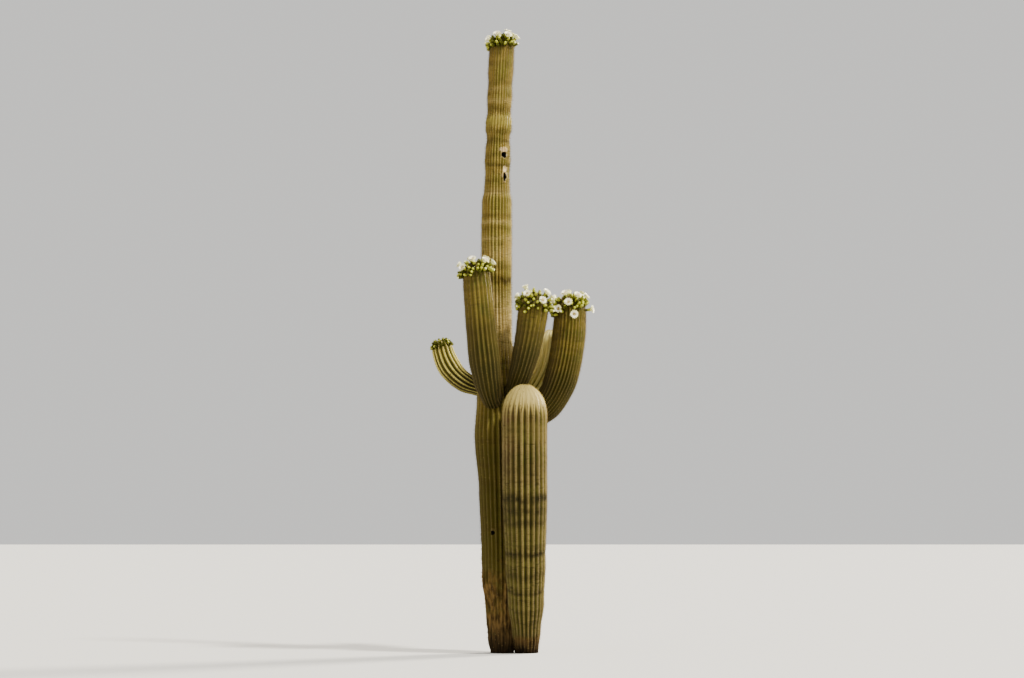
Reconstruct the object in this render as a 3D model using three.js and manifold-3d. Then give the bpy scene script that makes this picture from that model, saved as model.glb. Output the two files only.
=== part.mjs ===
// A flowering saguaro cactus: a tall ribbed trunk with five arms, and a shorter stem in front that rises from
// the same foot. Millimetres, +Z up. The origin is the middle of the flat cut under the trunk, the ground is
// z = 0, and -Y is the side that the front stem leans towards.
import * as THREE from "three";
import { mergeVertices } from "three/addons/utils/BufferGeometryUtils.js";
import Module from "manifold-3d";

const wasm = await Module();
wasm.setup();

// Driving dimensions
const TRUNK_HEIGHT = 6690; // ground to the tip of the flesh, under the flowers
const TRUNK_BOW = 62; // how far the trunk bows towards -X on its way up
const BOW_RISE = 1.6; // above 1, the bow lies in the upper half
const TRUNK_RIBS = 26;
const RIB_DEPTH = 0.16; // of a limb's radius, from a rib's crest to the valley beside it
const BARK_RIB_SHARE = 0.5; // of that depth, at the foot, where bark has filled the valleys
const BARK_TOP = 1400; // height where the bark ends
const DOME_TALL = 1.33; // a bare tip's height over its radius
const CROWN_TALL = 1.05; // the same where flowers crowd it
const SEAT_GAP = 0.4; // between a limb and the limb that carries it
const SPLIT_GAP = 0.3; // between an arm's elbow and its upright
const RING_STEP = 380; // most that two rings of a limb lie apart
const DOME_RINGS = 4; // rings that round off a tip
const AXIS_STATIONS = 64; // places along an axis where the ribs' directions are kept

// The trunk's radius over its ribs at heights above the ground, with the waists that dry years left and the
// swollen ring between two of them
const TRUNK_RADII = [
  [0, 133], [150, 161], [450, 183], [800, 220], [1180, 220], [1750, 234], [2320, 270], [2740, 239],
  [3090, 186], [3450, 164], [4550, 170], [4880, 166], [5000, 145], [5200, 136], [5320, 145], [5430, 140],
  [5610, 129], [5670, 146], [5770, 146], [5850, 131], [6040, 139], [6150, 132], [6360, 141],
  [TRUNK_HEIGHT, 133],
];

// The front stem: four points that bend its axis, from under the ground, and its radius at shares of its length
const FRONT_STEM = {
  axis: [[262, 100, -150], [260, -380, 330], [238, -470, 1600], [240, -520, 2870]],
  radii: [[0, 130], [0.08, 134], [0.15, 160], [0.26, 200], [0.4, 220], [0.62, 244], [1, 244]],
  ribs: 22,
};

// Each arm: its axis and radii as above, the share of its length where its elbow ends, its ribs, and its crown,
// which leans to -X or +X. Strays stand apart from the crown: the bloom, the way it points seen from above, and
// its degrees from the arm's axis
const ARMS = [
  {
    name: "front_left_arm",
    axis: [[-70, 0, 2715], [-150, -560, 2650], [-205, -465, 3200], [-285, -500, 4185]],
    radii: [[0, 100], [0.16, 114], [0.3, 155], [0.42, 173], [0.6, 166], [0.8, 157], [1, 146]],
    elbow: 0.36,
    ribs: 20,
    crown: { flowers: 8, buds: 7, lowest: 82, turn: 224, lean: -0.12 },
  },
  {
    name: "front_right_arm",
    axis: [[20, 0, 2770], [150, -330, 2720], [300, -375, 3250], [352, -400, 3860]],
    radii: [[0, 85], [0.2, 100], [0.36, 132], [0.55, 150], [0.8, 163], [1, 160]],
    elbow: 0.4,
    ribs: 20,
    crown: { flowers: 8, buds: 7, lowest: 93, turn: 246, lean: 0 },
    strays: [["bud", -1, -0.2, 98], ["bud", -0.5, -1, 103]],
  },
  {
    name: "right_arm",
    axis: [[-30, 0, 2540], [575, -20, 2385], [728, -40, 2980], [744, -50, 3850]],
    radii: [[0, 115], [0.16, 124], [0.34, 166], [0.5, 184], [0.75, 184], [1, 168]],
    elbow: 0.42,
    ribs: 28,
    crown: { flowers: 10, buds: 8, lowest: 82, turn: 198, lean: -0.25 },
    strays: [["flower", 1, -0.3, 80], ["flower", 0.15, -1, 96], ["flower", -0.6, -0.9, 84]],
  },
  {
    name: "rear_arm",
    axis: [[-35, 0, 2620], [250, 380, 2620], [530, 420, 2950], [535, 420, 3515]],
    radii: [[0, 85], [0.22, 98], [0.4, 132], [0.65, 140], [1, 132]],
    elbow: 0.46,
    ribs: 16,
    crown: null,
  },
  {
    name: "left_arm",
    axis: [[-35, 0, 2840], [-350, 45, 2822], [-630, 70, 2985], [-668, 70, 3385]],
    radii: [[0, 84], [0.25, 94], [0.45, 116], [0.7, 132], [0.88, 122], [1, 104]],
    elbow: 0.5,
    ribs: 14,
    crown: { flowers: 0, buds: 9, lowest: 64, turn: 10, lean: 0 },
  },
];
const TRUNK_CROWN = { flowers: 10, buds: 8, lowest: 76, turn: 60, lean: -0.1 };

// A flower is a tube that opens into a shallow cup, and a bud is a small club, as radii at heights. The buds of
// a crown with no flowers are younger
const FLOWER = { sides: 7, outline: [[0, -24], [13, -24], [17, 50], [41, 82], [40, 92], [0, 78]] };
const BUD = { sides: 5, outline: [[0, -20], [12, -20], [17, 36], [0, 60]] };
const YOUNG_BUD = { sides: 5, outline: [[0, -20], [11, -20], [14, 22], [0, 38]] };
const GOLDEN_TURN = 137.5; // degrees from one bloom to the next
const HIGHEST_BLOOM = 13; // degrees from the tip's axis to the topmost bloom

// The nest holes that birds have pecked in the trunk: height, degrees from -Y towards +X, radius, depth
const NEST_HOLES = [
  [5396, 33, 30, 75],
  [5160, 40, 29, 75],
  [1292, -26, 20, 60],
];
const NEST_HOLE_SIDES = 10;

const OLD_FLESH = new THREE.MeshStandardMaterial({ color: 0x8a7338, roughness: 0.8, metalness: 0 });
const FLESH = new THREE.MeshStandardMaterial({ color: 0x7d7034, roughness: 0.75, metalness: 0 });
const YOUNG_FLESH = new THREE.MeshStandardMaterial({ color: 0x8f8550, roughness: 0.75, metalness: 0 });
const UP = new THREE.Vector3(0, 0, 1);
const LATHE_AXIS = new THREE.Vector3(0, 1, 0);

// Reads a list of [place, value] rows, easing from each row to the next
function valueAt(rows, place) {
  const next = rows.findIndex(([at]) => at >= place);
  if (next < 0) return rows[rows.length - 1][1];
  if (next === 0) return rows[0][1];
  const [[a, low], [b, high]] = [rows[next - 1], rows[next]];
  return THREE.MathUtils.lerp(low, high, THREE.MathUtils.smoothstep(place, a, b));
}

function radians(degrees) {
  return THREE.MathUtils.degToRad(degrees);
}

// The trunk's axis leans over and comes back, and its rings stay level
class TrunkAxis extends THREE.Curve {
  getPoint(share) {
    const bow = -TRUNK_BOW * Math.sin(Math.PI * share ** BOW_RISE);
    return new THREE.Vector3(bow, 0, TRUNK_HEIGHT * share);
  }
  getPointAt(share) {
    return this.getPoint(share);
  }
  getTangentAt() {
    return UP.clone();
  }
  getLength() {
    return TRUNK_HEIGHT;
  }
}

// A limb with its radius at each distance along its axis, rounded off at its tip
function makeLimb({ curve, radii, ribs, ribDepth = () => RIB_DEPTH, domeTall = DOME_TALL }) {
  const length = curve.getLength();
  const dome = valueAt(radii, length) * domeTall;
  const shoulder = length - dome;
  const normals = curve.computeFrenetFrames(AXIS_STATIONS).normals;
  const radiusAt = (along) => {
    const up = Math.max(0, along - shoulder) / dome;
    return valueAt(radii, along) * Math.sqrt(Math.max(0, 1 - up * up));
  };
  return { curve, radii, ribs, ribDepth, length, dome, shoulder, normals, radiusAt };
}

// A limb on an axis bent by four points, with radii given at shares of its length
function makeBentLimb({ axis, radii, ribs }, domeTall) {
  const curve = new THREE.CubicBezierCurve3(...axis.map((point) => new THREE.Vector3(...point)));
  const length = curve.getLength();
  return makeLimb({ curve, ribs, domeTall, radii: radii.map(([share, r]) => [share * length, r]) });
}

// The axis point at a distance along a limb, the way ahead, and two directions square to it
function frameAt(limb, along) {
  const share = THREE.MathUtils.clamp(along / limb.length, 0, 1);
  const ahead = limb.curve.getTangentAt(share);
  const side = limb.normals[Math.round(share * AXIS_STATIONS)].clone();
  side.addScaledVector(ahead, -side.dot(ahead)).normalize();
  const across = new THREE.Vector3().crossVectors(ahead, side);
  return { centre: limb.curve.getPointAt(share), ahead, side, across };
}

// The distances at which a limb has rings: where its radius is given, and closer together round its tip
function ringPlaces(limb, from, to) {
  const sides = [from, ...limb.radii.map(([at]) => at), limb.shoulder, to];
  const last = Math.min(to, limb.shoulder);
  const stops = sides.filter((at) => at >= from && at <= last).sort((a, b) => a - b);
  const places = [from];
  for (const stop of stops) {
    const before = places[places.length - 1];
    const parts = Math.ceil((stop - before) / RING_STEP);
    for (let part = 1; part < parts; part++) places.push(before + ((stop - before) * part) / parts);
    if (stop - before > 1) places.push(stop);
  }
  if (to <= limb.shoulder) return places;
  for (let ring = 1; ring <= DOME_RINGS; ring++) {
    const up = Math.sin((Math.PI / 2) * (ring / (DOME_RINGS + 1)));
    places.push(limb.shoulder + limb.dome * up);
  }
  return [...places, to];
}

// A straight lathed column whose rings are given ribs and set along the limb's axis. Its ends are flat cuts,
// or the point of the tip
function limbGeometry(limb, { from = 0, to = limb.length, grow = 0 } = {}) {
  const rings = ringPlaces(limb, from, to).map((along) => ({
    ...frameAt(limb, along),
    radius: limb.radiusAt(along),
    depth: limb.ribDepth(along),
  }));
  const outline = rings.map((ring, i) => new THREE.Vector2(1, i));
  const ends = [new THREE.Vector2(0, 0), ...outline, new THREE.Vector2(0, rings.length - 1)];
  const steps = 2 * limb.ribs;
  const geometry = new THREE.LatheGeometry(ends, steps);
  const position = geometry.attributes.position;
  for (let i = 0; i < position.count; i++) {
    const turn = Math.floor(i / ends.length);
    const row = i % ends.length;
    const ring = rings[THREE.MathUtils.clamp(row - 1, 0, rings.length - 1)];
    const onAxis = row === 0 || row === ends.length - 1;
    const share = turn % 2 ? 1 - ring.depth : 1;
    const radius = onAxis || ring.radius === 0 ? 0 : ring.radius * share + grow;
    const angle = (turn / steps) * 2 * Math.PI;
    const point = ring.centre.clone().addScaledVector(ring.side, radius * Math.cos(angle));
    point.addScaledVector(ring.across, radius * Math.sin(angle));
    position.setXYZ(i, point.x, point.y, point.z);
  }
  return geometry;
}

// A closed geometry as a solid that can be joined and cut
function solidOf(geometry) {
  geometry.deleteAttribute("normal");
  geometry.deleteAttribute("uv");
  const merged = mergeVertices(geometry, 1e-3);
  const corners = merged.index.array;
  const triVerts = [];
  for (let i = 0; i < corners.length; i += 3) {
    const [a, b, c] = corners.slice(i, i + 3);
    if (a !== b && b !== c && c !== a) triVerts.push(a, b, c);
  }
  const mesh = new wasm.Mesh({
    numProp: 3,
    vertProperties: Float32Array.from(merged.attributes.position.array),
    triVerts: Uint32Array.from(triVerts),
  });
  return new wasm.Manifold(mesh);
}

function meshOf(name, solid, material) {
  const { vertProperties, triVerts } = solid.getMesh();
  const geometry = new THREE.BufferGeometry();
  geometry.setAttribute("position", new THREE.BufferAttribute(new Float32Array(vertProperties), 3));
  geometry.setIndex(new THREE.BufferAttribute(new Uint32Array(triVerts), 1));
  geometry.computeVertexNormals();
  const mesh = new THREE.Mesh(geometry, material);
  mesh.name = name;
  return mesh;
}

// A flower or bud that points along a direction, with its root sunk in the flesh
function bloomSolid({ sides, outline }, root, direction) {
  const geometry = new THREE.LatheGeometry(outline.map(([r, h]) => new THREE.Vector2(r, h)), sides);
  geometry.applyQuaternion(new THREE.Quaternion().setFromUnitVectors(LATHE_AXIS, direction));
  geometry.translate(root.x, root.y, root.z);
  return solidOf(geometry);
}

// Joins a bloom to a limb's tip, tilted from the tip's axis towards a side
function addBloom(solid, limb, outline, outward, tilt) {
  const shoulder = frameAt(limb, limb.shoulder);
  const root = shoulder.centre.clone().addScaledVector(shoulder.ahead, limb.dome * Math.cos(tilt));
  root.addScaledVector(outward, limb.radiusAt(limb.shoulder) * Math.sin(tilt));
  const direction = shoulder.ahead.clone().multiplyScalar(Math.cos(tilt));
  direction.addScaledVector(outward, Math.sin(tilt)).normalize();
  return solid.add(bloomSolid(outline, root, direction));
}

// Blooms round a tip, flowers on top and buds under them, each a golden turn from the last and lower than it
function addCrown(solid, limb, { flowers, buds, lowest, turn, lean }) {
  const count = flowers + buds;
  const bud = flowers ? BUD : YOUNG_BUD;
  const { side, across } = frameAt(limb, limb.shoulder);
  let crowned = solid;
  for (let k = 0; k < count; k++) {
    const angle = radians(turn + k * GOLDEN_TURN);
    const outward = side.clone().multiplyScalar(Math.cos(angle)).addScaledVector(across, Math.sin(angle));
    const tilt = THREE.MathUtils.lerp(HIGHEST_BLOOM, lowest, Math.sqrt((k + 0.5) / count));
    const outline = k < flowers ? FLOWER : bud;
    crowned = addBloom(crowned, limb, outline, outward, radians(tilt * (1 + lean * outward.x)));
  }
  return crowned;
}

function addStray(solid, limb, [kind, x, y, tilt]) {
  const { ahead } = frameAt(limb, limb.shoulder);
  const outward = new THREE.Vector3(x, y, 0);
  outward.addScaledVector(ahead, -outward.dot(ahead)).normalize();
  return addBloom(solid, limb, kind === "flower" ? FLOWER : BUD, outward, radians(tilt));
}

// A round hole, pecked level into the trunk
function nestHole([height, turn, radius, depth]) {
  const outward = new THREE.Vector3(Math.sin(radians(turn)), -Math.cos(radians(turn)), 0);
  const bore = new THREE.CylinderGeometry(radius, radius, 2 * depth, NEST_HOLE_SIDES);
  bore.applyQuaternion(new THREE.Quaternion().setFromUnitVectors(LATHE_AXIS, outward));
  const mouth = new TrunkAxis().getPoint(height / TRUNK_HEIGHT);
  mouth.addScaledVector(outward, valueAt(TRUNK_RADII, height));
  bore.translate(mouth.x, mouth.y, mouth.z);
  return solidOf(bore);
}

// Bark fills the trunk's valleys near the ground
function trunkRibDepth(height) {
  return RIB_DEPTH * THREE.MathUtils.lerp(BARK_RIB_SHARE, 1, THREE.MathUtils.smoothstep(height, 0, BARK_TOP));
}

const trunkLimb = makeLimb({
  curve: new TrunkAxis(),
  radii: TRUNK_RADII,
  ribs: TRUNK_RIBS,
  ribDepth: trunkRibDepth,
  domeTall: CROWN_TALL,
});

// What the other limbs are cut back to: the trunk, larger all round by the seat's gap
const trunkSeat = solidOf(limbGeometry(trunkLimb, { grow: SEAT_GAP }));

function makeTrunk() {
  let solid = solidOf(limbGeometry(trunkLimb));
  for (const hole of NEST_HOLES) solid = solid.subtract(nestHole(hole));
  return meshOf("trunk", addCrown(solid, trunkLimb, TRUNK_CROWN), OLD_FLESH);
}

// The front stem is cut off level with the ground, and pressed flat where it meets the trunk's foot
function makeFrontStem() {
  const limb = makeBentLimb(FRONT_STEM, DOME_TALL);
  const below = new THREE.BoxGeometry(2000, 2000, 1000);
  below.translate(0, 0, -500);
  const solid = solidOf(limbGeometry(limb)).subtract(solidOf(below)).subtract(trunkSeat);
  return meshOf("front_stem", solid, YOUNG_FLESH);
}

// The largest body of a solid, without scraps that a cut leaves in the trunk's valleys
function largestBody(solid) {
  return solid.decompose().reduce((most, body) => (body.volume() > most.volume() ? body : most));
}

// An arm is split at its bend, and both parts are cut clear of the trunk
function makeArm(arm) {
  const limb = makeBentLimb(arm, arm.crown && arm.crown.flowers ? CROWN_TALL : DOME_TALL);
  const split = arm.elbow * limb.length;
  const elbow = largestBody(solidOf(limbGeometry(limb, { to: split - SPLIT_GAP / 2 })).subtract(trunkSeat));
  let upright = solidOf(limbGeometry(limb, { from: split + SPLIT_GAP / 2 })).subtract(trunkSeat);
  if (arm.crown) upright = addCrown(upright, limb, arm.crown);
  for (const stray of arm.strays ?? []) upright = addStray(upright, limb, stray);
  const material = arm.crown ? FLESH : YOUNG_FLESH;
  return [meshOf(arm.name + "_elbow", elbow, material), meshOf(arm.name + "_upright", upright, material)];
}

const saguaro = new THREE.Group();
saguaro.add(makeTrunk());
saguaro.add(makeFrontStem());
for (const arm of ARMS) saguaro.add(...makeArm(arm));

export default saguaro;
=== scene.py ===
"""A flowering saguaro cactus: ribbed skin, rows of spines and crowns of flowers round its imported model.

Metres, +Z up. The ground is z = 0, and the trunk's foot is at the origin.
"""

import math
from types import SimpleNamespace
from typing import NamedTuple

import bpy
import numpy as np
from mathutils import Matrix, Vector


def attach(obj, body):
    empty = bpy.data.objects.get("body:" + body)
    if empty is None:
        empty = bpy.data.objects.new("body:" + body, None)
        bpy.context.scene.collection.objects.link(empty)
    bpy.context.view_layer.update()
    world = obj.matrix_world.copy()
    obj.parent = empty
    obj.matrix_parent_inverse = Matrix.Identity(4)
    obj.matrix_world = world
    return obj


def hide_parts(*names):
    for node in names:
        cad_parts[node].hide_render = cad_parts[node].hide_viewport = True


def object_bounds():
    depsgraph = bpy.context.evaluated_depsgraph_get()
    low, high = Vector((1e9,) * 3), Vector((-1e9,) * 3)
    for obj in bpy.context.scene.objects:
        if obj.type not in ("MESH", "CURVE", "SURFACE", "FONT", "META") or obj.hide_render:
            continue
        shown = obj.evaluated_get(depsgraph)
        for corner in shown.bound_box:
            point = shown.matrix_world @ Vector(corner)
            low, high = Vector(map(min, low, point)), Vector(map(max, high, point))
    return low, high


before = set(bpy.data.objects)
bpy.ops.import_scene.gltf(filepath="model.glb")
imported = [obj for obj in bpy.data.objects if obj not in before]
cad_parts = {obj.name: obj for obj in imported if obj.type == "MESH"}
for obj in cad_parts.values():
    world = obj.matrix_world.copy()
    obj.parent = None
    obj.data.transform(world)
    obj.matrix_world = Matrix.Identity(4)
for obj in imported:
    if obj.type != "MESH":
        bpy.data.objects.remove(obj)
CAD_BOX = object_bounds()

bl_info = {
    "name": "Saguaro Cactus",
    "version": (1, 0, 0),
    "blender": (4, 5, 0),
    "location": "View3D > Sidebar > Saguaro",
    "description": "Gives a saguaro cactus its ribbed skin, spines, flowers and buds",
    "category": "Add Mesh",
}


class Crown(NamedTuple):
    """The flowers and buds on a tip."""

    flowers: int
    buds: int
    lowest: float  # degrees from the tip's axis down to the lowest bloom
    turn: float  # degrees round the tip to the first bloom
    lean: float = 0.0  # how much lower the blooms sit on the +X side, over their tilt

    @property
    def blooms(self):
        return self.flowers + self.buds


# The limbs, from the same sizes as the solids. The trunk's radii go by height, and the others' by the share
# of the limb's length. Skin turns old between the two distances below the tip given for its age, and darkens
# there partly as painted shade. A band has its height, half its own height and its strength, negative where
# it is pale; some dark bands are painted shade and some pale ones painted light, and the rest growth bands.
# A fork has its rib, its height and how far up it has opened. A stray bloom has its kind, its side and its
# tilt. "dull_buds" is the share of buds that are dark.
TRUNK_HEIGHT = 6.69
TRUNK_BOW = 0.062
BOW_RISE = 1.6

LIMB_SIZES = {
    "trunk": {
        "radii": [
            (0, 0.133), (0.15, 0.161), (0.45, 0.183), (0.8, 0.22), (1.18, 0.22), (1.75, 0.234), (2.32, 0.27),
            (2.74, 0.239), (3.09, 0.186), (3.45, 0.164), (4.55, 0.17), (4.88, 0.166), (5, 0.145),
            (5.2, 0.136), (5.32, 0.145), (5.43, 0.14), (5.61, 0.129), (5.67, 0.146), (5.77, 0.146),
            (5.85, 0.131), (6.04, 0.139), (6.15, 0.132), (6.36, 0.141), (TRUNK_HEIGHT, 0.133),
        ],
        "ribs": 26,
        "aged": (3.2, 4.6),
        "crown": Crown(10, 8, 76, 60, -0.1),
        "dull_buds": 0.55,
        "bands": [
            (6.6, 0.04, 0.6), (6.505, 0.03, 0.45), (6.39, 0.03, 0.45), (6.183, 0.03, 0.5),
            (6.134, 0.025, -0.3), (5.984, 0.03, -0.35), (5.893, 0.035, 0.65), (5.648, 0.025, 0.6),
            (5.547, 0.03, 0.85),
            (5.388, 0.04, 0.6), (5.288, 0.025, 0.85), (5.1, 0.03, 0.5), (4.975, 0.035, -0.4),
            (4.89, 0.02, 0.3), (4.732, 0.025, 0.6), (4.657, 0.03, -0.45), (4.585, 0.025, 0.5),
            # The broad pale band at 3.56 m is painted light, over the shade that the arms cast on the trunk
            (4.475, 0.03, -0.35), (4.3, 0.1, -0.35), (4.02, 0.045, 1.3), (3.56, 0.3, -1.0),
            (1.75, 0.03, 0.4), (0.63, 0.05, 0.6),
        ],
    },
    "front_stem": {
        "axis": [(0.262, 0.1, -0.15), (0.26, -0.38, 0.33), (0.238, -0.47, 1.6), (0.24, -0.52, 2.87)],
        "radii": [(0, 0.13), (0.08, 0.134), (0.15, 0.16), (0.26, 0.2), (0.4, 0.22), (0.62, 0.244),
                  (1, 0.244)],
        "ribs": 22,
        "aged": (0.55, 1.5),
        "fork": (5, 2.57, 0.12),
        "bands": [
            (2.49, 0.04, 0.2), (2.38, 0.12, -0.45), (2.13, 0.05, 0.2), (2.0, 0.1, 0.4), (1.765, 0.03, -0.2),
            (1.67, 0.05, 1.0), (1.54, 0.06, 0.8), (1.415, 0.035, 0.7), (1.33, 0.05, -0.25),
            (1.2, 0.05, -0.3),
            (1.085, 0.025, 1.2), (0.985, 0.03, -0.4), (0.86, 0.03, 0.5), (0.77, 0.03, -0.35),
            (0.69, 0.014, 1.2), (0.64, 0.02, -0.35), (0.54, 0.03, -0.3), (0.49, 0.015, 0.5),
        ],
    },
    "front_left_arm": {
        "axis": [(-0.07, 0, 2.715), (-0.15, -0.56, 2.65), (-0.205, -0.465, 3.2), (-0.285, -0.5, 4.185)],
        "radii": [(0, 0.1), (0.16, 0.114), (0.3, 0.155), (0.42, 0.173), (0.6, 0.166), (0.8, 0.157),
                  (1, 0.146)],
        "ribs": 20,
        "aged": (0.2, 1.25),
        "crown": Crown(8, 7, 82, 224, -0.12),
        "bands": [(3.98, 0.025, 0.5), (3.9, 0.02, 0.3), (3.46, 0.12, 0.5)],
    },
    "front_right_arm": {
        "axis": [(0.02, 0, 2.77), (0.15, -0.33, 2.72), (0.3, -0.375, 3.25), (0.352, -0.4, 3.86)],
        "radii": [(0, 0.085), (0.2, 0.1), (0.36, 0.132), (0.55, 0.15), (0.8, 0.163), (1, 0.16)],
        "ribs": 20,
        "aged": (0.08, 0.74),
        "crown": Crown(8, 7, 93, 246),
        "strays": [("bud", -1, -0.2, 98), ("bud", -0.5, -1, 103)],
        "bands": [(3.42, 0.03, 0.6)],
    },
    "right_arm": {
        "axis": [(-0.03, 0, 2.54), (0.575, -0.02, 2.385), (0.728, -0.04, 2.98), (0.744, -0.05, 3.85)],
        "radii": [(0, 0.115), (0.16, 0.124), (0.34, 0.166), (0.5, 0.184), (0.75, 0.184), (1, 0.168)],
        "ribs": 28,
        "aged": (0.52, 1.00),
        "crown": Crown(10, 8, 82, 198, -0.25),
        "strays": [("flower", 1, -0.3, 80), ("flower", 0.15, -1, 96), ("flower", -0.6, -0.9, 84)],
        "bands": [(3.41, 0.02, 0.5), (3.27, 0.03, 0.5), (3.12, 0.05, 0.5)],
    },
    "rear_arm": {
        "axis": [(-0.035, 0, 2.62), (0.25, 0.38, 2.62), (0.53, 0.42, 2.95), (0.535, 0.42, 3.515)],
        "radii": [(0, 0.085), (0.22, 0.098), (0.4, 0.132), (0.65, 0.14), (1, 0.132)],
        "ribs": 16,
        "aged": (0.6, 1.1),
    },
    "left_arm": {
        "axis": [(-0.035, 0, 2.84), (-0.35, 0.045, 2.822), (-0.63, 0.07, 2.985), (-0.668, 0.07, 3.385)],
        "radii": [(0, 0.084), (0.25, 0.094), (0.45, 0.116), (0.7, 0.132), (0.88, 0.122), (1, 0.104)],
        "ribs": 14,
        "aged": (0.1, 0.6),
        "crown": Crown(0, 9, 64, 10),
        "dull_buds": 0.45,
    },
}

DOME_TALL = 1.33  # the height of a bare dome over its radius
CROWN_TALL = 1.05  # and of one under flowers
STATIONS = 64
BAND_WOBBLE = 0.022  # how far a band wanders up and down on its way round
PALE_RING = (5.7, 5.828)  # the smooth swollen ring on the trunk
BARK_TOP = 1.4

# The ribs: depths over the limb's usual depth, and how much shallower they get
RIB_SHARPNESS = 1.35  # 1 gives a sharp crest, 2 a round one
YOUNG_RIB_SHARE = 1.45  # on a young arm, one with buds and no flowers
BARK_RIB_SHARE = 0.5
DOME_FADE, TIP_FADE, RING_FADE = 0.85, 0.35, 0.55  # over a bare dome, below a crown and on the pale ring

# The skin's mesh
SKIN_INSET = 0.003  # the skin lies this far inside the solids
SWELL_DEPTH = 0.0014  # the slight waists of dry years
BAND_DEPTH = 0.003
BARK_RELIEF = 0.006
SAMPLES_PER_RIB = 8
ROW_STEP = 0.02
HOLE_ROW_STEP = 0.005
DOME_ROWS = 24
NECK_GAP = 0.02  # an arm leaves the trunk where its axis is this far outside
NECK_DEPTH = 0.06  # and its skin starts this much further in
SHADE_RADIUS = 0.15  # radius of the straightened limb on which patterns are laid out

# The spines
TIP_CROWDING = [(0, 0.42), (0.35, 0.62), (1.1, 1.0)]  # distances below the tip, and spacing over the usual
LEAST_CREST_GAP = 0.01  # clusters are left out where crests run closer together than this
PLACE_JITTER = 0.14  # over the spacing
CENTRALS = 3  # spines of a cluster that stand out of it, and the others lie flatter
STANDING_RISE, LYING_RISE = (0.85, 1.45), (0.2, 0.6)  # angles to the skin, in radians
STANDING_LENGTH, LYING_LENGTH = (0.65, 1.0), (0.38, 0.62)  # over the longest
DROOP = 0.22  # how much further down the standing ones point
ROOT_DEPTH = 0.002
PAD_SIZE, PAD_RISE = (0.0042, 0.0058), 0.0035
COVERED_GAP = 0.006  # no spines grow this close to another limb
FOOT_BARE = 0.05

# The blooms
GOLDEN_TURN = 137.5
HIGHEST_BLOOM = 13
FILLERS = 4.0  # how many more buds stand between the blooms that the solids have, for each of them
FILLER_TURN, FILLER_JITTER = 68, 12  # degrees from the first bloom to the first of them, and their scatter
OPENNESS = {1.0: 0.4, 1.05: 0.25, 0.9: 0.2, 0.6: 0.15}  # how far flowers open, and the share of each
BUD_SIZES, YOUNG_BUD_SIZES = (0.65, 1.25), (0.35, 0.62)
ABOUT_TO_OPEN = 1.18  # buds larger than this show a cream tip

# The camera and stage
PHOTO_WIDTH, PHOTO_HEIGHT = 1024, 678
CAMERA_DISTANCE = 30.0
EYE_HEIGHT = 1.6
FRAME_TALL = 7.35  # how many metres of height the frame takes in, at the trunk
SENSOR_WIDTH = 36.0
VIEW_END = 500
FLOOR_SIZE = 160.0
ROOM_COLOUR, ROOM_STRENGTH = (0.92, 0.91, 0.88, 1), 0.9
SUNS = {  # the way each light comes from, its strength, softness in degrees and colour
    "Key light": ((0.68, -0.46, 1.00), 8.8, 7, (1.0, 0.96, 0.86)),
    "Fill light": ((-0.7, -0.8, 0.45), 0.6, 60, (1.0, 0.98, 0.93)),
    "Rim light": ((1.0, 0.75, 0.4), 16.0, 16, (1.0, 0.93, 0.8)),
}

UP = np.array([0.0, 0.0, 1.0])
SCATTER = (73856093, 19349663, 83492791)  # large primes that spread a lattice over a table


class NestHole(NamedTuple):
    """A hole pecked into the trunk, with a corky scar above it. Widths and heights are half the whole."""

    height: float
    turn: float  # degrees from -Y towards +X
    wide: float
    tall: float
    scar_up: float
    scar_wide: float
    scar_tall: float
    cork: float = 1.0  # how plainly the scar shows

    @property
    def way(self):
        turn = math.radians(self.turn)
        return np.array([math.sin(turn), -math.cos(turn), 0])


HOLE_DEPTH = 0.07
LIP_RISE = 0.005
NEST_HOLES = [
    NestHole(5.388, 33, 0.029, 0.034, 0.056, 0.048, 0.03),
    NestHole(5.15, 40, 0.025, 0.044, 0.082, 0.034, 0.04),
    NestHole(1.292, -26, 0.019, 0.022, 0.03, 0.02, 0.02, 0.12),
]


def value_at(rows, places):
    """Reads rows of (place, value) at any places, easing from each row to the next."""
    at, values = np.array(rows, float).T
    places = np.clip(places, at[0], at[-1])
    i = np.clip(np.searchsorted(at, places), 1, len(at) - 1)
    share = (places - at[i - 1]) / (at[i] - at[i - 1])
    share = share * share * (3 - 2 * share)
    return values[i - 1] + (values[i] - values[i - 1]) * share


def smooth(low, high, value):
    """0 below low, 1 above high, and an eased slope between them."""
    share = np.clip((value - low) / (high - low), 0, 1)
    return share * share * (3 - 2 * share)


def bell(value, middle, half):
    """1 in the middle, falling away on both sides."""
    return np.exp(-(((value - middle) / half) ** 2))


def unit(vectors):
    """Vectors cut or stretched to length 1."""
    return vectors / np.maximum(np.linalg.norm(vectors, axis=-1, keepdims=True), 1e-12)


def totals(steps):
    """The sum of the steps so far, from 0 on."""
    return np.concatenate([[0], np.cumsum(steps)])


def lattice_noise(points, cell, seed):
    """Smooth noise from -1 to 1 at points in space, with features about as large as cell."""
    table = np.random.default_rng(seed).uniform(-1, 1, 4096)
    grid = points / cell
    low = np.floor(grid).astype(int)
    part = grid - low
    part = part * part * (3 - 2 * part)
    total = np.zeros(len(points))
    for corner in np.ndindex(2, 2, 2):
        weight = np.prod(np.where(np.array(corner) == 1, part, 1 - part), axis=1)
        x, y, z = ((low + corner) * SCATTER).T
        total += weight * table[(x ^ y ^ z) % len(table)]
    return total


def bent_axis(points):
    """A curve through the first and last of four points, pulled towards the other two."""
    a, b, c, d = (np.array(p, float) for p in points)

    def axis(share):
        s = share[:, None]
        return a * (1 - s) ** 3 + b * 3 * s * (1 - s) ** 2 + c * 3 * s * s * (1 - s) + d * s**3

    return axis


def trunk_axis(share):
    """The trunk's axis, which bows towards -X on its way up."""
    bow = -TRUNK_BOW * np.sin(np.pi * share**BOW_RISE)
    return np.stack([bow, 0 * share, TRUNK_HEIGHT * share], axis=1)


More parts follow.
